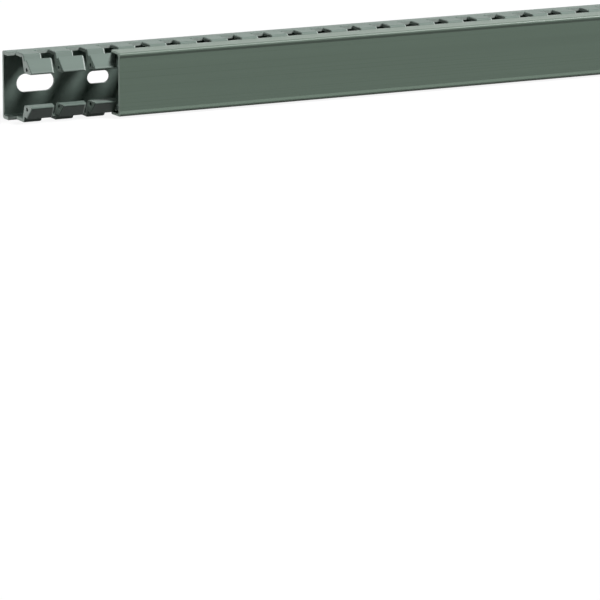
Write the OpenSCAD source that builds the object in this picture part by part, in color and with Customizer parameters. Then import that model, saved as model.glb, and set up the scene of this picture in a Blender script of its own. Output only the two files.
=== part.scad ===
// Slotted wire duct with its snap-on cover, for the wiring in a control panel.
// The duct lies on one side wall: X runs along it, its back is at +Y and its cover faces -Y.
// The origin is the middle of the box round base and cover, at the level that the duct lies on.

/* [Duct] */
// Length of the base, and of the cover
duct_l = 2000; // [150:12.5:3000]
// Outer width of the base, across its two side walls
duct_w = 25; // [24:0.5:60]
// Depth from the back's outer face to the cover's front
duct_d = 20; // [19:0.5:60]
// Thickness of the back
back_t = 1.2; // [0.8:0.1:1.6]
// Thickness of the side walls
wall_t = 1.3; // [0.9:0.1:1.6]
// Radius of the two outer corners at the back
corner_r = 1; // [0.4:0.1:1.4]

/* [Slots and fingers] */
// Distance from one finger to the next
pitch = 12.5; // [11.5:0.5:25]
// Width of a slot, between the stems of two fingers
slot_w = 5.4; // [4.8:0.1:6.5]
// Distance from the back's outer face to the closed end of a slot
slot_start = 4.9; // [3:0.1:6]
// How much of the first slot lies beyond the base's cut end
slot_cut = 2.05; // [0.5:0.05:4]
// Distance from the cover's front to the step below the finger heads
step_back = 8.3; // [8.1:0.1:9]
// Length of the slope from the wall's face into the groove
step_l = 0.6; // [0.4:0.1:0.8]
// Depth of the groove in which the cover's clip beads run
groove_t = 2.1; // [2:0.05:2.3]
// Length of the groove's flat bottom
groove_l = 1.1; // [1.1:0.05:1.3]
// How far the heels of the heads lie inside the wall's outer face
heel_in = 1.6; // [1.5:0.05:1.7]
// Length of the flat on each heel
heel_l = 0.25; // [0.1:0.05:0.5]
// Slope of the heads, measured from the side walls
head_angle = 45; // [40:1:50]
// Depth of the heads, from their rounded back edge to their nose
head_l = 5.65; // [5.4:0.05:6]
// Radius of the back edge of the heads
bulb_r = 1.4; // [1.2:0.05:1.5]
// Radius of the nose of the heads
nose_r = 0.95; // [0.8:0.05:1.1]
// How far the rounded edges of a head stand out from its flat faces
round_out = 0.1; // [0.05:0.01:0.15]
// Radius of the core hole that runs through each head
core_r = 0.75; // [0.5:0.05:0.85]
// Distance from the middle of the back edge's round to the core hole
core_in = 1; // [0.8:0.1:1.2]
// Gap between the noses and the inside of the cover's front
head_gap = 1.05; // [0.5:0.05:1.2]
// How far a head reaches past its stem, on one side
wing = 2.65; // [1:0.05:3]
// How much the winged side of a head narrows towards the cover's front
wing_taper = 1.5; // [0:0.1:2]
// How much the straight side of a head narrows towards the cover's front
flank_taper = 0.4; // [0:0.1:1]

/* [Mounting slots] */
// Distance from one mounting slot to the next
mount_pitch = 25; // [20:2.5:50]
// Length of the large mounting slots
large_l = 15; // [8:0.5:18]
// Width of the large mounting slots
large_w = 6.8; // [4:0.1:8]
// Length of the small mounting slots
small_l = 9; // [6:0.5:16]
// Width of the small mounting slots
small_w = 4.7; // [3:0.1:6]

/* [Cover] */
// How far the cover is pushed along from the base's cut end
cover_shift = 37.5; // [0:2.5:100]
// Thickness of the cover's front
cover_t = 1.1; // [0.8:0.05:1.2]
// Thickness of the cover's legs
leg_t = 0.9; // [0.7:0.05:1]
// How much the cover narrows on each side, from the ends of its legs to its front
leg_lean = 0.2; // [0:0.05:0.3]
// Gap between the legs and the heels of the heads
leg_gap = 0.12; // [0.1:0.01:0.2]
// Gap between the ends of the legs and the start of the groove
step_gap = 0.15; // [0.1:0.05:0.2]
// Radius of the clip bead inside the end of each leg
clip_r = 0.4; // [0.3:0.01:0.42]
// Radius of the cover's outer edges
edge_r = 1; // [0.6:0.1:1.2]
// Width of the raised border along each edge of the front
border_w = 1.6; // [1.4:0.1:3]
// How far the flat of the front lies behind its borders
border_h = 0.3; // [0.1:0.05:0.4]

/* [Hidden] */

// Steps to a full turn on beads and slot ends, and to a quarter turn on the long outer edges
round_fn = 48;
edge_steps = 5;
// How far the cutters run past what they cut
past = 1;

half_w = duct_w / 2;
step_at = duct_d - step_back;
groove_at = step_at + step_l;
groove_h = half_w - groove_t;
heel_at = groove_at + groove_l;
heel_h = half_w - heel_in;

leg_end = groove_at + step_gap;
leg_in = heel_h + leg_gap;
leg_out = leg_in + leg_t;
edge_h = leg_out - leg_lean;
flat_at = duct_d - border_h;
front_in = flat_at - cover_t;

// A head's slope starts at the front of its heel, and ends at its nose, which the gap keeps behind the cover
slope_at = heel_at + heel_l;
along = [cos(head_angle), -sin(head_angle)];
across = [sin(head_angle), cos(head_angle)];
nose_at = front_in - head_gap;
nose_in = nose_r - round_out;
slope_l = (nose_at - nose_r - slope_at + nose_in * across.x) / along.x;
slope_end = [slope_at, heel_h] + slope_l * along;
nose_c = slope_end - nose_in * across;
// The tip of a head is flat between its nose and its back edge
tip_h = nose_c.y - nose_in;
bulb_in = bulb_r - round_out;
bulb_c = [nose_at - head_l + bulb_r, tip_h + bulb_in];
core_c = bulb_c + [core_in, 0];

base_x = -(duct_l + cover_shift) / 2;
cover_x = base_x + cover_shift;
slots = floor((duct_l + slot_cut) / pitch) + 1;
mounts = floor((duct_l + mount_pitch / 2 - large_l / 2) / mount_pitch);

base_colour = "#838f88";
cover_colour = "#78857d";

// Points of a quarter circle round a centre, from one angle to 90 degrees further
function quarter(centre, r, from) =
    [for (i = [0 : edge_steps]) let (a = from + 90 * i / edge_steps) centre + r * [cos(a), sin(a)]];

// Points of the upper half of a section, and then those of its mirror image, back to the start
function both_halves(half) =
    concat(half, [for (i = [len(half) - 1 : -1 : 0]) [half[i].x, -half[i].y]]);

// Puts a shape at a point of a section, and at that point's mirror image
module both_sides(point)
    for (side = [-1, 1])
        translate([point.x, side * point.y])
            children();

// Extrudes a section, drawn as depth from the back and height from the middle, along the duct
module along_duct(x, l)
    translate([x, duct_d / 2, half_w])
        rotate([90, 0, 90])
            linear_extrude(l)
                mirror([1, 0])
                    children();

// Section of the base: the back, both side walls, both steps and both rows of heads
module base_section()
    difference() {
        union() {
            base_walls();
            both_sides(bulb_c) circle(bulb_r, $fn = round_fn);
            both_sides(nose_c) circle(nose_r, $fn = round_fn);
        }
        both_sides(core_c) circle(core_r, $fn = round_fn);
    }

// The flat faces of that section, with the outer corners at the back
module base_walls()
    polygon(both_halves(concat(
        [
            [back_t, half_w - wall_t],
            [step_at - wall_t, half_w - wall_t],
            [groove_at - wall_t, groove_h - wall_t],
            [bulb_c.x - bulb_in, bulb_c.y],
            [bulb_c.x, tip_h],
            [nose_c.x, tip_h],
            slope_end,
            [slope_at, heel_h],
            [heel_at, heel_h],
            [heel_at, groove_h],
            [groove_at, groove_h],
            [step_at, half_w],
        ],
        quarter([corner_r, half_w - corner_r], corner_r, 90)
    )));

// Outline of a slot and of the gap between two heads, of which the left one reaches over the slot
module slot_outline(reach)
    polygon([
        [0, slot_start],
        [slot_w, slot_start],
        [slot_w, groove_at],
        [slot_w + flank_taper, duct_d],
        [reach - wing_taper, duct_d],
        [reach, groove_at],
        [0, groove_at],
    ]);

// Cutter for all the slots, through both side walls
module slot_cutter()
    translate([base_x - slot_cut, duct_d / 2, -past])
        linear_extrude(duct_w + 2 * past)
            mirror([0, 1])
                for (i = [0 : slots - 1])
                    translate([i * pitch, 0])
                        slot_outline(i == 0 ? 0 : wing);

// Cutter for one mounting slot, through the back
module mount_cutter(l, w)
    rotate([90, 0, 0])
        linear_extrude(back_t + 2 * past, center = true) {
            square([l - w, w], center = true);
            for (side = [-1, 1])
                translate([side * (l - w) / 2, 0])
                    circle(d = w, $fn = round_fn);
        }

module duct_base()
    color(base_colour)
        difference() {
            along_duct(base_x, duct_l) base_section();
            slot_cutter();
            for (i = [0 : mounts - 1])
                translate([base_x + (i + 0.5) * mount_pitch, (duct_d - back_t) / 2, half_w])
                    if (i % 2 == 0) mount_cutter(large_l, large_w);
                    else mount_cutter(small_l, small_w);
        }

// Section of the cover: its front with a raised border along each edge, and its two legs
module cover_section() {
    polygon(both_halves(concat(
        [
            [flat_at, edge_h - border_w - border_h],
            [duct_d, edge_h - border_w],
        ],
        quarter([duct_d - edge_r, edge_h - edge_r], edge_r, 0),
        [
            [leg_end, leg_out],
            [leg_end, leg_in],
            [front_in, edge_h - leg_t],
        ]
    )));
    both_sides([leg_end + clip_r, leg_in]) circle(clip_r, $fn = round_fn);
}

module duct_cover()
    color(cover_colour)
        along_duct(cover_x, duct_l) cover_section();

duct_base();
duct_cover();
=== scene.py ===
"""Slotted wire duct of grey-green PVC and its snap-on cover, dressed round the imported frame.

The duct lies on one side wall: X runs along it, its back faces +Y and its cover faces -Y.
Sections are drawn as depth from the back's outer face and height from the middle, in millimetres.
"""

import logging
import math
from dataclasses import dataclass, field
from enum import Enum
from typing import TypeVar

import bmesh
import bpy
from mathutils import Matrix, Vector


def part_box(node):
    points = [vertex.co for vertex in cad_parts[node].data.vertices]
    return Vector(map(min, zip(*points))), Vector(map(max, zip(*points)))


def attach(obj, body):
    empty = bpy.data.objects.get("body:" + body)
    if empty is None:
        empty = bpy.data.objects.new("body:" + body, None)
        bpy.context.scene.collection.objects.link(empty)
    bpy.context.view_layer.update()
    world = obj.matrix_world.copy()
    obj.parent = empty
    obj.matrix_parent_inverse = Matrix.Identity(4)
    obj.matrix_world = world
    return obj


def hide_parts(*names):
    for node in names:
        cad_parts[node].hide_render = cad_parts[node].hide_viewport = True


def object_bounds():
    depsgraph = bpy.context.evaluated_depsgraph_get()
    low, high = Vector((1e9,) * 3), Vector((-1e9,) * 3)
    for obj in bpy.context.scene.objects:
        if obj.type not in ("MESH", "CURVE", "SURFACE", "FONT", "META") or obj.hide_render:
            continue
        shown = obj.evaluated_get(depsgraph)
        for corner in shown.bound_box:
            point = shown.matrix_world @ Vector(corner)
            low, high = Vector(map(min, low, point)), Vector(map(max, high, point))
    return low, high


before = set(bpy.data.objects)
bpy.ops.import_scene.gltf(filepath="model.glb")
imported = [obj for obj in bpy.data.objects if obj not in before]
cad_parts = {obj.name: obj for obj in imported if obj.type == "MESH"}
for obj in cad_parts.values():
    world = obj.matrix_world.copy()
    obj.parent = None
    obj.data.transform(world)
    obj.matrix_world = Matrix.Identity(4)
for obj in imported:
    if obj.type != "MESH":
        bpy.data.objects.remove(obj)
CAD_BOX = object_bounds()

MM = 0.001
# Two places less than this many millimetres apart count as the same.
SAME = 0.01
# Vertices closer than this, in metres, are merged.
MERGE = 0.002 * MM
# Range in which a noise pattern's factor mostly lies.
NOISE_RANGE = (0.3, 0.7)

Vert = bmesh.types.BMVert
Edge = bmesh.types.BMEdge
Face = bmesh.types.BMFace
Tree = bpy.types.NodeTree
Socket = bpy.types.NodeSocket
Kind = TypeVar("Kind")

log = logging.getLogger("wire_duct")


class Region(Enum):
    """Stretch of the base's section, by how far along the duct the punch leaves it."""

    WALL = "back and rims"
    STEM = "stems of the fingers"
    HEAD = "heads of the fingers"


class Surface(Enum):
    """Index of the material on a face."""

    SKIN = 0
    CUT = 1


@dataclass(frozen=True)
class PlasticFinish:
    """Extruded rigid PVC, as it leaves the die or where it was punched or sawn.

    Attributes:
        name: Name of the material.
        colour: Linear RGB of the plastic.
        roughness: Middle roughness of the surface.
        streak: How much the colour varies in streaks along the duct.
        line_depth: Strength of the die lines' bump.
        grain_depth: Strength of the fine grain's bump.
        along: Scale of the pattern along the duct, small on drawn skin and large on cut faces.
        sheen: Level of the mirroring, where 0.5 is that of bare plastic.
        streak_scale: Scale of the streaks across the duct.
        line_scale: Scale of the die lines across the duct.
        grain_scale: Scale of the grain.
        smoother: How far the roughness falls below its middle.
        rougher: How far the roughness rises above its middle.
        bump_h: Height of the bumps at full strength, in millimetres.
        ior: Refractive index of the plastic.
    """

    name: str
    colour: tuple[float, float, float]
    roughness: float
    streak: float
    line_depth: float
    grain_depth: float
    along: float
    sheen: float
    streak_scale: float = 260.0
    line_scale: float = 2600.0
    grain_scale: float = 1700.0
    smoother: float = 0.05
    rougher: float = 0.07
    bump_h: float = 0.1
    ior: float = 1.5

    def material(self) -> bpy.types.Material:
        """Makes the node material of this finish.

        Returns:
            The new material.
        """
        made = bpy.data.materials.new(self.name)
        made.use_nodes = True
        tree = made.node_tree
        shader = tree.nodes["Principled BSDF"]
        place = tree.nodes.new("ShaderNodeTexCoord").outputs["Object"]
        streaks = self._noise(tree, place, (self.along, self.streak_scale, self.streak_scale))
        lines = self._noise(tree, place, (self.along, self.line_scale, self.line_scale), detail=3.0)
        grain = self._noise(tree, place, (self.grain_scale,) * 3)
        self._tint(tree, shader, streaks)
        rough = self._spread(tree, lines, self.roughness - self.smoother, self.roughness + self.rougher)
        tree.links.new(rough, shader.inputs["Roughness"])
        low = self._bump(tree, lines, self.line_depth, None)
        tree.links.new(self._bump(tree, grain, self.grain_depth, low), shader.inputs["Normal"])
        shader.inputs["IOR"].default_value = self.ior
        shader.inputs["Specular IOR Level"].default_value = self.sheen
        return made

    def _noise(
        self, tree: Tree, place: Socket, scale: tuple[float, float, float], detail: float = 2.0
    ) -> Socket:
        """Adds a noise pattern stretched along the duct.

        Args:
            tree: Node tree of the material.
            place: Socket with the coordinates.
            scale: Scale along each axis.
            detail: Detail of the noise.

        Returns:
            The socket with the noise's factor.
        """
        mapping = tree.nodes.new("ShaderNodeMapping")
        mapping.inputs["Scale"].default_value = scale
        noise = tree.nodes.new("ShaderNodeTexNoise")
        noise.inputs["Scale"].default_value = 1.0
        noise.inputs["Detail"].default_value = detail
        tree.links.new(place, mapping.inputs["Vector"])
        tree.links.new(mapping.outputs["Vector"], noise.inputs["Vector"])
        return noise.outputs["Fac"]

    def _spread(self, tree: Tree, value: Socket, low: float, high: float) -> Socket:
        """Maps a noise factor's usual range to another range.

        Args:
            tree: Node tree of the material.
            value: Socket with the factor.
            low: Result at the low end of the range.
            high: Result at the high end of the range.

        Returns:
            The socket with the mapped value.
        """
        spread = tree.nodes.new("ShaderNodeMapRange")
        spread.inputs["From Min"].default_value = NOISE_RANGE[0]
        spread.inputs["From Max"].default_value = NOISE_RANGE[1]
        spread.inputs["To Min"].default_value = low
        spread.inputs["To Max"].default_value = high
        tree.links.new(value, spread.inputs["Value"])
        return spread.outputs["Result"]

    def _tint(self, tree: Tree, shader: bpy.types.ShaderNode, streaks: Socket) -> None:
        """Varies the colour in streaks, from slightly darker to slightly paler plastic.

        Args:
            tree: Node tree of the material.
            shader: Principled shader that takes the colour.
            streaks: Socket with the streaks' factor.
        """
        ramp = tree.nodes.new("ShaderNodeValToRGB")
        changes = (-self.streak, self.streak)
        for element, place, change in zip(ramp.color_ramp.elements, NOISE_RANGE, changes):
            element.position = place
            element.color = (*(part * (1 + change) for part in self.colour), 1.0)
        tree.links.new(streaks, ramp.inputs["Fac"])
        tree.links.new(ramp.outputs["Color"], shader.inputs["Base Color"])

    def _bump(self, tree: Tree, height: Socket, strength: float, normal: Socket | None) -> Socket:
        """Adds a fine bump.

        Args:
            tree: Node tree of the material.
            height: Socket with the height.
            strength: Strength of the bump.
            normal: Normal of the bump below it, if there is one.

        Returns:
            The socket with the normal.
        """
        bump = tree.nodes.new("ShaderNodeBump")
        bump.inputs["Strength"].default_value = strength
        bump.inputs["Distance"].default_value = self.bump_h * MM
        tree.links.new(height, bump.inputs["Height"])
        if normal is not None:
            tree.links.new(normal, bump.inputs["Normal"])
        return bump.outputs["Normal"]


BASE_SKIN = PlasticFinish(
    name="base_skin",
    colour=(0.207, 0.270, 0.237),
    roughness=0.42,
    streak=0.06,
    line_depth=0.12,
    grain_depth=0.05,
    along=4.0,
    sheen=0.17,
)
# Punched and sawn plastic: paler than the skin as cut PVC is, and paler still as painted light that stands
# in for the light these faces catch.
BASE_CUT_PAINTED_LIGHT = PlasticFinish(
    name="base_cut_painted_light",
    colour=(0.490, 0.560, 0.520),
    roughness=0.55,
    streak=0.08,
    line_depth=0.25,
    grain_depth=0.15,
    along=2600.0,
    sheen=0.17,
)
COVER_SKIN = PlasticFinish(
    name="cover_skin",
    colour=(0.190, 0.262, 0.207),
    roughness=0.30,
    streak=0.03,
    line_depth=0.03,
    grain_depth=0.02,
    along=4.0,
    sheen=0.26,
)
COVER_CUT = PlasticFinish(
    name="cover_cut",
    colour=(0.330, 0.400, 0.350),
    roughness=0.55,
    streak=0.08,
    line_depth=0.25,
    grain_depth=0.15,
    along=2600.0,
    sheen=0.17,
)


def of_kind(geom: list, kind: type[Kind]) -> list[Kind]:
    """Picks the elements of one kind, such as vertices, out of an operator's result."""
    return [element for element in geom if isinstance(element, kind)]


@dataclass
class Corner:
    """Corner of a section, rounded where it has a radius.

    Attributes:
        depth: Distance from the back's outer face.
        height: Distance from the middle of the duct.
        radius: Radius of the rounding, or 0.
        steps: Flats that make up the rounding.
    """

    depth: float
    height: float
    radius: float = 0.0
    steps: int = 4


@dataclass
class Extrusion:
    """What the base and the cover share: a section in millimetres, and a mesh that grows along X.

    Attributes:
        start: Place of the first end along X, in millimetres.
        length: Length of the piece.
        depth: Depth of the whole duct, from its back to the cover's front.
        half_w: Half of the base's width.
        mesh: The mesh, in metres and in the frame's place.
    """

    start: float
    length: float
    depth: float
    half_w: float
    mesh: bmesh.types.BMesh = field(default_factory=bmesh.new)

    def at(self, along: float, depth: float, height: float) -> Vector:
        """Turns a place on the duct into a point of the frame, in metres."""
        return Vector((self.start + along, self.depth / 2 - depth, self.half_w + height)) * MM

    def along_of(self, vert: Vert) -> float:
        """Gives a vertex's distance along the piece, in millimetres."""
        return vert.co.x / MM - self.start

    def depth_of(self, vert: Vert) -> float:
        """Gives a vertex's depth from the back's outer face, in millimetres."""
        return self.depth / 2 - vert.co.y / MM

    def height_of(self, vert: Vert) -> float:
        """Gives a vertex's height from the middle, in millimetres."""
        return vert.co.z / MM - self.half_w

    def everything(self) -> list:
        """Lists the vertices, edges and faces of the mesh."""
        return self.mesh.verts[:] + self.mesh.edges[:] + self.mesh.faces[:]

    def profile(self, corners: list[Corner], along: float) -> None:
        """Draws a closed section and rounds its corners.

        Args:
            corners: Corners of the section, in order.
            along: Where the section stands along the piece.
        """
        verts = [self.mesh.verts.new(self.at(along, corner.depth, corner.height)) for corner in corners]
        self.mesh.faces.new(verts)
        for corner, vert in zip(corners, verts):
            if corner.radius > 0:
                self._round(corner, vert)

    def _round(self, corner: Corner, vert: Vert) -> None:
        """Rounds one corner of a flat section with a tangent arc.

        Args:
            corner: The corner's radius and steps.
            vert: The vertex that stands at the corner.
        """
        arms = [(edge.other_vert(vert).co - vert.co) for edge in vert.link_edges]
        inside = arms[0].angle(arms[1])
        bmesh.ops.bevel(
            self.mesh,
            geom=[vert],
            offset=corner.radius * MM / math.tan(inside / 2),
            offset_type="OFFSET",
            segments=corner.steps,
            profile=0.5,
            affect="VERTICES",
            clamp_overlap=False,
            material=-1,
        )

    def cut_section(self, depth: float) -> None:
        """Divides the section's faces at a depth, and keeps both sides.

        Args:
            depth: Depth of the cut.
        """
        place = self.at(0, depth, 0)
        bmesh.ops.bisect_plane(
            self.mesh, geom=self.everything(), dist=SAME * MM, plane_co=place, plane_no=(0, 1, 0)
        )

    def grow(self, faces: list[Face], along: float, ends: tuple[Face, ...] = ()) -> list[Face]:
        """Extrudes faces of the section to a place further along the piece.

        Args:
            faces: Faces of the section.
            along: Where the new end of the extrusion stands.
            ends: Those of the faces that stay, as end faces.

        Returns:
            The faces at the new end.
        """
        grown = bmesh.ops.extrude_face_region(self.mesh, geom=faces)["geom"]
        inner = [face for face in faces if face.is_valid and face not in ends]
        bmesh.ops.delete(self.mesh, geom=inner, context="FACES_ONLY")
        for vert in of_kind(grown, Vert):
            vert.co.x = (self.start + along) * MM
        return of_kind(grown, Face)

    def mirror(self) -> None:
        """Adds the other half of the duct's height, as a mirror image of the first."""
        copy = bmesh.ops.duplicate(self.mesh, geom=self.everything())["geom"]
        middle = Matrix.Translation((0, 0, -self.half_w * MM))
        bmesh.ops.scale(self.mesh, verts=of_kind(copy, Vert), vec=(1, 1, -1), space=middle)
        bmesh.ops.reverse_faces(self.mesh, faces=of_kind(copy, Face))

    def merge(self) -> None:
        """Merges vertices that lie in one place."""
        bmesh.ops.remove_doubles(self.mesh, verts=self.mesh.verts, dist=MERGE)

    def bevel(self, edges: list[Edge], width: float, steps: int = 1) -> list[Face]:
        """Breaks sharp edges.

        Args:
            edges: The edges.
            width: Width of the bevel, in millimetres.
            steps: Flats across the bevel.

        Returns:
            The faces of the bevel.
        """
        made = bmesh.ops.bevel(
            self.mesh,
            geom=edges,
            offset=width * MM,
            offset_type="OFFSET",
            segments=steps,
            profile=0.5,
            affect="EDGES",
            clamp_overlap=False,
            material=-1,
        )
        return made["faces"]

    def finish(
        self, name: str, skins: tuple[PlasticFinish, PlasticFinish], crease: float
    ) -> bpy.types.Object:
        """Closes the mesh, sharpens its creases and makes it an object.

        Args:
            name: Name of the object.
            skins: Finishes of the drawn skin and of the cut faces.
            crease: Angle from which an edge stays sharp, in degrees.

        Returns:
            The new object, linked to the scene.
        """
        self.merge()
        bmesh.ops.recalc_face_normals(self.mesh, faces=self.mesh.faces)
        for face in self.mesh.faces:
            face.smooth = True
        for edge in self.mesh.edges:
            alike = len({face.material_index for face in edge.link_faces}) == 1
            edge.smooth = edge.is_manifold and alike and edge.calc_face_angle(0.0) < math.radians(crease)
        open_edges = sum(1 for edge in self.mesh.edges if not edge.is_manifold)
        data = bpy.data.meshes.new(name)
        self.mesh.to_mesh(data)
        self.mesh.free()
        piece = bpy.data.objects.new(name, data)
        bpy.context.scene.collection.objects.link(piece)
        for skin in skins:
            data.materials.append(skin.material())
        weighted = piece.modifiers.new("flat_faces_stay_flat", "WEIGHTED_NORMAL")
        weighted.keep_sharp = True
        faces = len(data.polygons)
        triangles = sum(len(polygon.vertices) - 2 for polygon in data.polygons)
        log.info("%s: %d faces, %d triangles, %d open edges", name, faces, triangles, open_edges)
        return piece


@dataclass
class DuctBase(Extrusion):
    """The U-shaped base: punched side walls with their fingers, and the slotted back.

    Attributes:
        back_t: Thickness of the back.
        wall_t: Thickness of the side walls.
        corner_r: Radius of the outer edge between back and wall.
        inner_r: Radius of the inner edge between back and wall.
        pitch: Distance from one finger to the next.
        slot_w: Width of a side slot.
        slot_cut: How much of the first slot the sawn end takes away.
        slot_start: Depth of a side slot's closed end.
        step_at: Depth at which the wall steps in towards the groove.
        step_r: Radius at the start of that step.
        step_in: How much sooner the step starts on the wall's inner face.
        groove_at: Depth at which the cover's groove starts.
        groove_h: Height of the groove's floor.
        heel_at: Depth at which the groove ends.
        heel_h: Height of the head behind the groove.
        slope_at: Depth at which the head's slope starts.
        nose_r: Radius of the head's nose.
        tip_h: Height of the head's inner face.
        bulb_at: Depth of the bulb at the head's root.
        bulb_r: Radius of the bulb.
        core_at: Depth of the core hole.
        core_h: Height of the core hole.
        core_r: Radius of the core hole.
        core_margin: How far round the core hole a face still belongs to it.
        wing: How far the head reaches over the next slot.
        wing_taper: How much the wing's flank leans in by the duct's full depth.
        flank_taper: How much the other flank leans in by the duct's full depth.
        plate_h: Height at which the plate between the walls begins.
        mount_pitch: Distance from one mounting slot to the next.
        large: Length and width of a large mounting slot.
        small: Length and width of a small mounting slot.
        cells: Fingers in the stretch that repeats.
        far_roll: Width of the rolled edge on the far side of a finger.
        near_roll: Width of the rolled edge on its other sides.
        cut_normal: X part of a face's normal, from which the punch or the saw made it.
        skin_normal: X part of a face's normal, up to which it is drawn skin.
        inward: How far the normal of an outer face may lean inward.
        crease: Angle from which an edge stays sharp, in degrees.
    """

    back_t: float = 1.2
    wall_t: float = 1.3
    corner_r: float = 1.0
    inner_r: float = 0.4
    pitch: float = 12.5
    slot_w: float = 5.4
    slot_cut: float = 2.05
    slot_start: float = 4.9
    step_at: float = 11.25
    step_r: float = 0.8
    step_in: float = 0.9
    groove_at: float = 12.3
    groove_h: float = 10.4
    heel_at: float = 13.4
    heel_h: float = 10.95
    slope_at: float = 13.6
    nose_r: float = 0.65
    tip_h: float = 5.85
    bulb_at: float = 12.34
    bulb_r: float = 1.4
    core_at: float = 14.3
    core_h: float = 7.2
    core_r: float = 0.75
    core_margin: float = 0.1
    wing: float = 3.5
    wing_taper: float = 1.9
    flank_taper: float = 0.4
    plate_h: float = 8.0
    mount_pitch: float = 25.0
    large: tuple[float, float] = (15.0, 6.8)
    small: tuple[float, float] = (9.0, 4.7)
    cells: int = 4
    far_roll: float = 0.6
    near_roll: float = 0.22
    cut_normal: float = 0.7
    skin_normal: float = 0.5
    inward: float = 0.05
    crease: float = 20.0

    @property
    def first(self) -> float:
        """Where the first finger starts along the base."""
        return self.slot_w - self.slot_cut

    @property
    def module_l(self) -> float:
        """Length of the stretch that repeats, with one large and one small mounting slot."""
        return self.cells * self.pitch

    def build(self) -> bpy.types.Object:
        """Builds the base.

        Returns:
            The base's object.
        """
        self._cell()
        self._repeat(self.cells, self.pitch)
        self.mirror()
        self._plates()
        self._repeat(round(self.length / self.module_l), self.module_l)
        self._first_strip()
        self._saw_end()
        self._mark_cuts()
        self._break_edges()
        return self.finish("base_extrusion", (BASE_SKIN, BASE_CUT_PAINTED_LIGHT), self.crease)

    def _corners(self) -> list[Corner]:
        """Lists the corners of the section above the plate.

        Returns:
            The corners, from the plate round to it again.
        """
        nose_at = self.slope_at + self.heel_h - self.tip_h
        inner_h = self.half_w - self.wall_t
        return [
            Corner(0, self.plate_h),
            Corner(0, self.half_w, self.corner_r, steps=5),
            Corner(self.step_at, self.half_w, self.step_r, steps=4),
            Corner(self.groove_at, self.groove_h),
            Corner(self.heel_at, self.groove_h),
            Corner(self.slope_at, self.heel_h),
            Corner(nose_at, self.tip_h, self.nose_r, steps=7),
            Corner(self.bulb_at, self.tip_h, self.bulb_r, steps=4),
            Corner(self.groove_at - self.wall_t, self.groove_h - self.wall_t),
            Corner(self.step_at - self.step_in, inner_h),
            Corner(self.back_t, inner_h, self.inner_r, steps=3),
            Corner(self.back_t, self.plate_h),
        ]

    def _regions(self) -> dict[Region, list[Face]]:
        """Draws the section above the plate, divided where the punch's cuts end.

        Returns:
            The section's faces in each region.
        """
        self.profile(self._corners(), self.first)
        self.cut_section(self.slot_start)
        self.cut_section(self.groove_at)
        found: dict[Region, list[Face]] = {region: [] for region in Region}
        for face in self.mesh.faces:
            depth = self.depth / 2 - face.calc_center_median().y / MM
            if depth < self.slot_start:
                found[Region.WALL].append(face)
            elif depth < self.groove_at:
                found[Region.STEM].append(face)
            else:
                found[Region.HEAD].append(face)
        found[Region.HEAD] = self._cored(found[Region.HEAD][0])
        return found

    def _cored(self, face: Face) -> list[Face]:
        """Puts the core hole through a head's section.

        Args:
            face: The head's section without its hole.

        Returns:
            The faces round the hole.
        """
        outline = face.edges[:]
        bmesh.ops.delete(self.mesh, geom=[face], context="FACES_ONLY")
        turn = Matrix.Rotation(math.radians(90), 4, "Y")
        circle = bmesh.ops.create_circle(
            self.mesh,
            cap_ends=False,
            radius=self.core_r * MM,
            segments=8,
            matrix=Matrix.Translation(self.at(self.first, self.core_at, self.core_h)) @ turn,
        )
        rim = list({edge for vert in circle["verts"] for edge in vert.link_edges})
        filled = bmesh.ops.triangle_fill(self.mesh, use_beauty=True, edges=outline + rim, normal=(1, 0, 0))
        return of_kind(filled["geom"], Face)

    def _cell(self) -> None:
        """Makes one finger with its stretch of side wall and back, up to the next finger."""
        regions = self._regions()
        finger = regions[Region.STEM] + regions[Region.HEAD]
        stem_end = self.pitch - self.slot_cut
        head_end = stem_end + self.wing
        grown = self.grow(regions[Region.WALL] + finger, stem_end, tuple(finger))
        onwards = [face for face in grown if self._is_wall(face) or self._is_head(face)]
        grown = self.grow(onwards, head_end)
        grown = self.grow([face for face in grown if self._is_wall(face)], self.first + self.pitch)
        bmesh.ops.delete(self.mesh, geom=grown, context="FACES_ONLY")
        self._taper(head_end)
        self._open_foot()

    def _is_wall(self, face: Face) -> bool:
        """Tells whether a face of the section belongs to the back and rims."""
        return all(self.depth_of(vert) < self.slot_start + SAME for vert in face.verts)

    def _is_head(self, face: Face) -> bool:
        """Tells whether a face of the section belongs to the head."""
        return all(self.depth_of(vert) > self.groove_at - SAME for vert in face.verts)

    def _taper(self, head_end: float) -> None:
        """Leans the flanks of the head, so that it narrows towards the cover's front.

        Args:
            head_end: Where the winged side of the head ends.
        """
        run = self.depth - self.groove_at
        for vert in self.mesh.verts:
            share = (self.depth_of(vert) - self.groove_at) / run
            if share > 0 and abs(self.along_of(vert) - self.first) < SAME:
                vert.co.x += self.flank_taper * share * MM
            elif share > 0 and abs(self.along_of(vert) - head_end) < SAME:
                vert.co.x -= self.wing_taper * share * MM

    def _open_foot(self) -> None:
        """Opens the wall's foot, where the plate between the walls joins on."""
        foot = [
            face
            for face in self.mesh.faces
            if all(abs(self.height_of(vert) - self.plate_h) < SAME for vert in face.verts)
        ]
        bmesh.ops.delete(self.mesh, geom=foot, context="FACES_ONLY")
        loose = [edge for edge in self.mesh.edges if edge.is_wire]
        bmesh.ops.delete(self.mesh, geom=loose, context="EDGES")

    def _repeat(self, count: int, step: float) -> None:
        """Repeats the whole mesh along X.

        Args:
            count: How many there are afterwards.
            step: Distance from one to the next.
        """
        source = self.everything()
        for number in range(1, count):
            verts = of_kind(bmesh.ops.duplicate(self.mesh, geom=source)["geom"], Vert)
            bmesh.ops.translate(self.mesh, verts=verts, vec=(number * step * MM, 0, 0))
        self.merge()

    def _plates(self) -> None:
        """Fills the back between the walls, bay by bay, round its mounting slots."""
        for bay, size in enumerate((self.large, self.small)):
            rims = [self._plate(depth, bay, size) for depth in (0, self.back_t)]
            bmesh.ops.bridge_loops(self.mesh, edges=rims[0] + rims[1])

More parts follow.
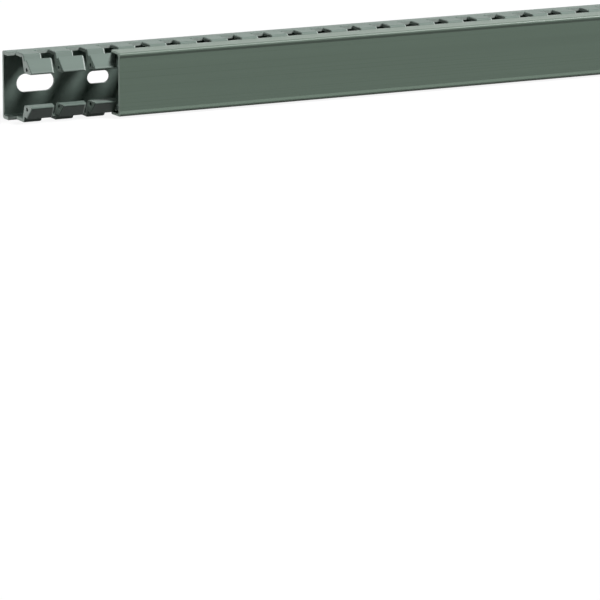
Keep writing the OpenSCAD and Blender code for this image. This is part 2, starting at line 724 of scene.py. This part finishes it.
    def _plate(self, depth: float, bay: int, size: tuple[float, float]) -> list[Edge]:
        """Fills one face of the back in one bay, and leaves the mounting slot open.

        Args:
            depth: Depth of the face.
            bay: Number of the bay, from 0.
            size: Length and width of the mounting slot.

        Returns:
            The edges round the slot.
        """
        low = self.first + bay * self.mount_pitch
        high = low + self.mount_pitch
        sides = [edge for edge in self.mesh.edges if self._bounds_plate(edge, depth, low, high)]
        ends = [self._cross_edge(sides, along) for along in (low, high)]
        rim = self._slot_rim(depth, (bay + 0.5) * self.mount_pitch, size)
        edges = sides + ends + rim
        bmesh.ops.triangle_fill(self.mesh, use_beauty=True, edges=edges, normal=(0, 1, 0))
        return rim

    def _bounds_plate(self, edge: Edge, depth: float, low: float, high: float) -> bool:
        """Tells whether an edge runs along a wall's foot, at a depth and within a bay.

        Args:
            edge: The edge.
            depth: The depth.
            low: Where the bay starts.
            high: Where the bay ends.

        Returns:
            Whether it does.
        """
        return all(
            abs(self.depth_of(vert) - depth) < SAME
            and abs(abs(self.height_of(vert)) - self.plate_h) < SAME
            and low - SAME < self.along_of(vert) < high + SAME
            for vert in edge.verts
        ) and abs(edge.verts[0].co.x - edge.verts[1].co.x) > SAME * MM

    def _cross_edge(self, sides: list[Edge], along: float) -> Edge:
        """Joins the feet of the two walls at one end of a bay.

        Args:
            sides: Edges along the feet of the walls.
            along: Place of that end.

        Returns:
            The edge from wall to wall.
        """
        ends = [vert for edge in sides for vert in edge.verts if abs(self.along_of(vert) - along) < SAME]
        found = self.mesh.edges.get(ends[:2])
        return found or self.mesh.edges.new(ends[:2])

    def _slot_rim(self, depth: float, middle: float, size: tuple[float, float]) -> list[Edge]:
        """Draws a slot with round ends, from a circle whose halves move apart.

        Args:
            depth: Depth of the face that it lies in.
            middle: Middle of the slot along the base.
            size: Length and width of the slot.

        Returns:
            The edges of the slot.
        """
        length, width = size
        segments = 20
        half_step = math.pi / segments
        turn = Matrix.Rotation(math.radians(90), 4, "X") @ Matrix.Rotation(half_step, 4, "Z")
        ring = bmesh.ops.create_circle(
            self.mesh,
            cap_ends=False,
            radius=width / 2 / math.cos(half_step) * MM,
            segments=segments,
            matrix=Matrix.Translation(self.at(middle, depth, 0)) @ turn,
        )
        for side in (-1, 1):
            half = [vert for vert in ring["verts"] if side * (self.along_of(vert) - middle) > 0]
            bmesh.ops.translate(self.mesh, verts=half, vec=(side * (length - width) / 2 * MM, 0, 0))
        return list({edge for vert in ring["verts"] for edge in vert.link_edges})

    def _first_strip(self) -> None:
        """Carries the back and rims on to the base's first end, and closes that end."""
        rim = [
            edge
            for edge in self.mesh.edges
            if edge.is_boundary and all(abs(self.along_of(vert) - self.first) < SAME for vert in edge.verts)
        ]
        grown = bmesh.ops.extrude_edge_only(self.mesh, edges=rim)["geom"]
        for vert in of_kind(grown, Vert):
            vert.co.x = self.start * MM
        bmesh.ops.contextual_create(self.mesh, geom=of_kind(grown, Edge))

    def _saw_end(self) -> None:
        """Saws the other end square, and closes it."""
        cut = bmesh.ops.bisect_plane(
            self.mesh,
            geom=self.everything(),
            dist=SAME * MM,
            plane_co=self.at(self.length, 0, 0),
            plane_no=(1, 0, 0),
            clear_outer=True,
        )
        bmesh.ops.contextual_create(self.mesh, geom=of_kind(cut["geom_cut"], Edge))

    def _mark_cuts(self) -> None:
        """Gives punched and sawn faces the finish of cut plastic, which is pale partly as cut PVC is and
        partly as painted light.
        """
        bmesh.ops.recalc_face_normals(self.mesh, faces=self.mesh.faces)
        for face in self.mesh.faces:
            if self._is_punched(face):
                face.material_index = Surface.CUT.value

    def _break_edges(self) -> None:
        """Rolls the punched edges outside, wide on each finger's far side and fine on the others.

        The wide roll takes the pale finish of cut plastic, partly as stretched plastic is pale and partly
        as a painted highlight, but not where it runs out past the slot.
        """
        for far, width, steps in ((True, self.far_roll, 2), (False, self.near_roll, 1)):
            edges = [edge for edge in self.mesh.edges if self._is_punched_edge(edge, far)]
            for face in self.bevel(edges, width, steps):
                in_slot = all(self.depth_of(vert) > self.slot_start - SAME for vert in face.verts)
                # Pale finish on the far roll inside the slot: partly stretched plastic, partly a painted
                # highlight along the edge.
                surface = Surface.CUT if far and in_slot else Surface.SKIN
                face.material_index = surface.value

    def _is_punched(self, face: Face) -> bool:
        """Tells whether the saw or the punch made a face, apart from the mounting slots' walls.

        Args:
            face: The face.

        Returns:
            Whether it lies across the duct, or in the plane where a cut ends.
        """
        depths = [self.depth_of(vert) for vert in face.verts]
        level = max(depths) - min(depths) < SAME
        ends_cut = min(abs(depths[0] - place) for place in (self.slot_start, self.groove_at)) < SAME
        across = abs(face.normal.x) > self.cut_normal
        return not self._is_in_mount(face) and (across or (level and ends_cut))

    def _is_in_mount(self, face: Face) -> bool:
        """Tells whether a face is the wall of a mounting slot.

        Args:
            face: The face.

        Returns:
            Whether it lies within the back, and within the height of the large slots.
        """
        reach = self.large[1] / 2 + SAME
        return all(
            self.depth_of(vert) < self.back_t + SAME and abs(self.height_of(vert)) < reach
            for vert in face.verts
        )

    def _is_outside(self, face: Face) -> bool:
        """Tells whether a face is drawn skin on the outer side of a wall or head.

        Args:
            face: The face.

        Returns:
            Whether it is, which the walls of the core hole aren't.
        """
        vert = face.verts[0]
        height = self.height_of(vert)
        from_core = math.hypot(self.depth_of(vert) - self.core_at, abs(height) - self.core_h)
        clear = from_core > self.core_r + self.core_margin
        outward = face.normal.z * math.copysign(1, height) > -self.inward
        return abs(face.normal.x) < self.skin_normal and outward and clear and not self._is_punched(face)

    def _is_punched_edge(self, edge: Edge, far: bool) -> bool:
        """Tells whether an edge lies between the outer skin and a punched face.

        Args:
            edge: The edge.
            far: Whether the punched face faces the duct's far end.

        Returns:
            Whether the edge is one of those.
        """
        sawn = all(abs(self.along_of(vert)) < SAME for vert in edge.verts)
        if len(edge.link_faces) != 2 or sawn:
            return False
        for punched, skin in (edge.link_faces, reversed(edge.link_faces)):
            if self._is_punched(punched) and self._is_outside(skin):
                return (punched.normal.x > self.cut_normal) == far
        return False


@dataclass
class DuctCover(Extrusion):
    """The snap-on cover: a shallow channel with a raised border along each edge of its front.

    Attributes:
        cover_t: Thickness of the front.
        leg_t: Thickness of the legs.
        leg_end: Depth at which the legs end.
        leg_in: Height of the legs' inner face, at their ends.
        leg_r: Radius of the outer edge of the legs' ends.
        lean: How much the legs lean in towards the front.
        clip_r: How far the clip bead stands in from the leg.
        clip_round: Radius of the bead's corners.
        clip_l: Length of the bead along the leg.
        clip_slope: Length of the slope from the bead back to the leg.
        inner_r: Radius inside, between front and leg.
        edge_r: Radius of the outer edge between front and leg.
        border_w: Width of the border's top.
        border_h: How far the border stands out of the front.
        border_slope: Length of the slope from the border's top down to the front.
        end_edge: Width of the bevel round the sawn ends.
        end_normal: X part of a face's normal, from which it belongs to an end.
        outline_angle: Angle from which an end's edge belongs to its outline, in radians.
        crease: Angle from which an edge stays sharp, in degrees.
    """

    cover_t: float = 1.1
    leg_t: float = 0.9
    leg_end: float = 12.45
    leg_in: float = 11.02
    leg_r: float = 0.2
    lean: float = 0.2
    clip_r: float = 0.4
    clip_round: float = 0.3
    clip_l: float = 0.8
    clip_slope: float = 0.08
    inner_r: float = 0.3
    edge_r: float = 1.0
    border_w: float = 1.1
    border_h: float = 0.3
    border_slope: float = 0.9
    end_edge: float = 0.2
    end_normal: float = 0.3
    outline_angle: float = 1.0
    crease: float = 14.0

    def build(self) -> bpy.types.Object:
        """Builds the cover.

        Returns:
            The cover's object.
        """
        self.profile(self._corners(), 0)
        self.mirror()
        self.merge()
        section = self.mesh.faces[:]
        self.grow(section, self.length, tuple(section))
        bmesh.ops.recalc_face_normals(self.mesh, faces=self.mesh.faces)
        self.bevel([edge for edge in self.mesh.edges if self._at_an_end(edge)], self.end_edge)
        for face in self.mesh.faces:
            if abs(face.normal.x) > self.end_normal:
                face.material_index = Surface.CUT.value
        return self.finish("cover_extrusion", (COVER_SKIN, COVER_CUT), self.crease)

    def _corners(self) -> list[Corner]:
        """Lists the corners of the upper half of the section.

        Returns:
            The corners, from the middle of the front's outer face round to its inner face.
        """
        leg_out = self.leg_in + self.leg_t
        edge_h = leg_out - self.lean
        flat_at = self.depth - self.border_h
        front_in = flat_at - self.cover_t
        clip_in = self.leg_in - self.clip_r
        clip_end = self.leg_end + self.clip_l
        return [
            Corner(flat_at, 0),
            Corner(flat_at, edge_h - self.border_w - self.border_slope),
            Corner(self.depth, edge_h - self.border_w),
            Corner(self.depth, edge_h, self.edge_r, steps=8),
            Corner(self.leg_end, leg_out, self.leg_r, steps=2),
            Corner(self.leg_end, clip_in, self.clip_round, steps=3),
            Corner(clip_end, clip_in, self.clip_round, steps=3),
            Corner(clip_end + self.clip_slope, self.leg_in),
            Corner(front_in, edge_h - self.leg_t, self.inner_r, steps=2),
            Corner(front_in, 0),
        ]

    def _at_an_end(self, edge: Edge) -> bool:
        """Tells whether an edge lies round one of the sawn ends.

        Args:
            edge: The edge.

        Returns:
            Whether it belongs to an end's outline.
        """
        places = [self.along_of(vert) for vert in edge.verts]
        turns = edge.calc_face_angle(0.0) > self.outline_angle
        at_an_end = max(places) < SAME or min(places) > self.length - SAME
        return len(edge.link_faces) == 2 and turns and at_an_end


@dataclass(frozen=True)
class Lamp:
    """A soft lamp, far away, so that it lights the whole length alike.

    Attributes:
        name: Name of the lamp.
        towards: Direction from the duct to the lamp.
        strength: Light on a surface that faces the lamp, where pi makes white render as white.
        spread: Apparent size of the lamp, in degrees.
    """

    name: str
    towards: tuple[float, float, float]
    strength: float
    spread: float

    def light(self) -> None:
        """Puts the lamp into the scene."""
        data = bpy.data.lights.new(self.name, "SUN")
        data.energy = self.strength
        data.angle = math.radians(self.spread)
        lamp = bpy.data.objects.new(self.name, data)
        bpy.context.scene.collection.objects.link(lamp)
        lamp.rotation_euler = Vector(self.towards).to_track_quat("Z", "Y").to_euler()


@dataclass
class Studio:
    """Camera, lamps, world and the pale floor.

    Attributes:
        lens: Focal length of the camera, in millimetres.
        sensor: Width of its sensor, in millimetres.
        clip_end: How far the camera sees, in metres.
        eye: Place of the camera, in metres.
        yaw: How far it is turned from looking along +Y, in radians.
        pitch: How far it looks down, in radians.
        roll: How far it is rolled about its own axis, in radians.
        floor_size: Length of the floor's sides, in metres.
        floor_glow: Light of the floor where it is seen, which its lit colour adds to.
        floor_shade: Grey of the floor where it is seen, which carries the duct's shadow.
        floor_light: Grey of the floor where it only lights the duct.
        world_light: Strength of the world where it only lights the duct.
        lamps: The lamps.
    """

    lens: float = 225.186
    sensor: float = 36.0
    clip_end: float = 200.0
    eye: tuple[float, float, float] = (-1.53568685, -1.23202247, 0.2585561)
    yaw: float = 0.47507
    pitch: float = 0.23835
    roll: float = 0.00726
    floor_size: float = 60.0
    floor_glow: float = 0.9
    floor_shade: float = 0.14
    floor_light: float = 0.03
    world_light: float = 0.015
    lamps: tuple[Lamp, ...] = (
        Lamp("key", (0.53, -0.41, 0.74), strength=3.3, spread=17.0),
        Lamp("end_fill", (-1.0, 0.0, 0.01), strength=2.2, spread=8.0),
    )

    def build(self) -> None:
        """Sets up everything that isn't the object."""
        self._camera()
        for lamp in self.lamps:
            lamp.light()
        self._world()
        self._floor()
        bpy.context.scene.view_settings.view_transform = "Standard"

    def _camera(self) -> None:
        """Places the camera at the photograph's view."""
        data = bpy.data.cameras.new("camera")
        data.lens = self.lens
        data.sensor_width = self.sensor
        data.clip_end = self.clip_end
        camera = bpy.data.objects.new("camera", data)
        bpy.context.scene.collection.objects.link(camera)
        level = Matrix.Rotation(math.pi / 2, 4, "X")
        turned = Matrix.Rotation(-self.yaw, 4, "Z") @ level @ Matrix.Rotation(-self.pitch, 4, "X")
        camera.matrix_world = Matrix.Translation(self.eye) @ turned @ Matrix.Rotation(self.roll, 4, "Z")
        bpy.context.scene.camera = camera

    def _seen(self, tree: Tree) -> Socket:
        """Adds a test of the rays that see the background as it is shown.

        Args:
            tree: Node tree to add it to.

        Returns:
            A socket that is 1 for camera, glossy and transmission rays.
        """
        path = tree.nodes.new("ShaderNodeLightPath")
        seen = path.outputs["Is Camera Ray"]
        for name in ("Is Glossy Ray", "Is Transmission Ray"):
            largest = tree.nodes.new("ShaderNodeMath")
            largest.operation = "MAXIMUM"
            tree.links.new(seen, largest.inputs[0])
            tree.links.new(path.outputs[name], largest.inputs[1])
            seen = largest.outputs["Value"]
        return seen

    def _world(self) -> None:
        """Makes the world white where it is seen, and dim where it only lights."""
        world = bpy.data.worlds.new("studio")
        bpy.context.scene.world = world
        world.use_nodes = True
        tree = world.node_tree
        back = tree.nodes["Background"]
        strength = tree.nodes.new("ShaderNodeMapRange")
        strength.inputs["To Min"].default_value = self.world_light
        strength.inputs["To Max"].default_value = 1.0
        tree.links.new(self._seen(tree), strength.inputs["Value"])
        back.inputs["Color"].default_value = (1.0, 1.0, 1.0, 1.0)
        tree.links.new(strength.outputs["Result"], back.inputs["Strength"])

    def _floor(self) -> None:
        """Lays the pale floor on which the duct lies."""
        mesh = bmesh.new()
        bmesh.ops.create_grid(mesh, x_segments=1, y_segments=1, size=self.floor_size / 2)
        data = bpy.data.meshes.new("floor")
        mesh.to_mesh(data)
        mesh.free()
        floor = bpy.data.objects.new("floor", data)
        bpy.context.scene.collection.objects.link(floor)
        data.materials.append(self._floor_material())

    def _floor_material(self) -> bpy.types.Material:
        """Makes the floor white with the duct's shadow where it is seen, and dim where it only lights.

        Returns:
            The floor's material.
        """
        made = bpy.data.materials.new("floor_white")
        made.use_nodes = True
        tree = made.node_tree
        tree.nodes.remove(tree.nodes["Principled BSDF"])
        output = tree.nodes["Material Output"]
        glow = tree.nodes.new("ShaderNodeEmission")
        glow.inputs["Strength"].default_value = self.floor_glow
        shown = tree.nodes.new("ShaderNodeAddShader")
        tree.links.new(glow.outputs["Emission"], shown.inputs[0])
        tree.links.new(self._matte(tree, self.floor_shade), shown.inputs[1])
        mix = tree.nodes.new("ShaderNodeMixShader")
        tree.links.new(self._seen(tree), mix.inputs["Fac"])
        tree.links.new(self._matte(tree, self.floor_light), mix.inputs[1])
        tree.links.new(shown.outputs["Shader"], mix.inputs[2])
        tree.links.new(mix.outputs["Shader"], output.inputs["Surface"])
        return made

    def _matte(self, tree: Tree, grey: float) -> Socket:
        """Adds a matte grey shader.

        Args:
            tree: Node tree of the material.
            grey: How light the grey is.

        Returns:
            The shader's socket.
        """
        matte = tree.nodes.new("ShaderNodeBsdfDiffuse")
        matte.inputs["Color"].default_value = (grey, grey, grey, 1.0)
        return matte.outputs["BSDF"]


def place_piece(piece: bpy.types.Object, body: str, node: str) -> None:
    """Fits a piece into the frame.

    Args:
        piece: The piece.
        body: Body that it rides on.
        node: Node that it stands for.
    """
    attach(piece, body)
    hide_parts(node)


def main() -> None:
    """Builds the studio, the base and the cover."""
    logging.basicConfig(level=logging.INFO, format="%(name)s: %(message)s")
    low, high = CAD_BOX
    depth, half_w = (high.y - low.y) / MM, (high.z - low.z) / MM / 2
    Studio().build()
    spans = {node: [corner.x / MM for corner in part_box(node)] for node in ("duct_base", "duct_cover")}
    base_start, base_end = spans["duct_base"]
    base = DuctBase(base_start, base_end - base_start, depth, half_w)
    place_piece(base.build(), "base", "duct_base")
    cover_start, cover_end = spans["duct_cover"]
    cover = DuctCover(cover_start, cover_end - cover_start, depth, half_w)
    place_piece(cover.build(), "cover", "duct_cover")


if __name__ == "__main__":
    main()
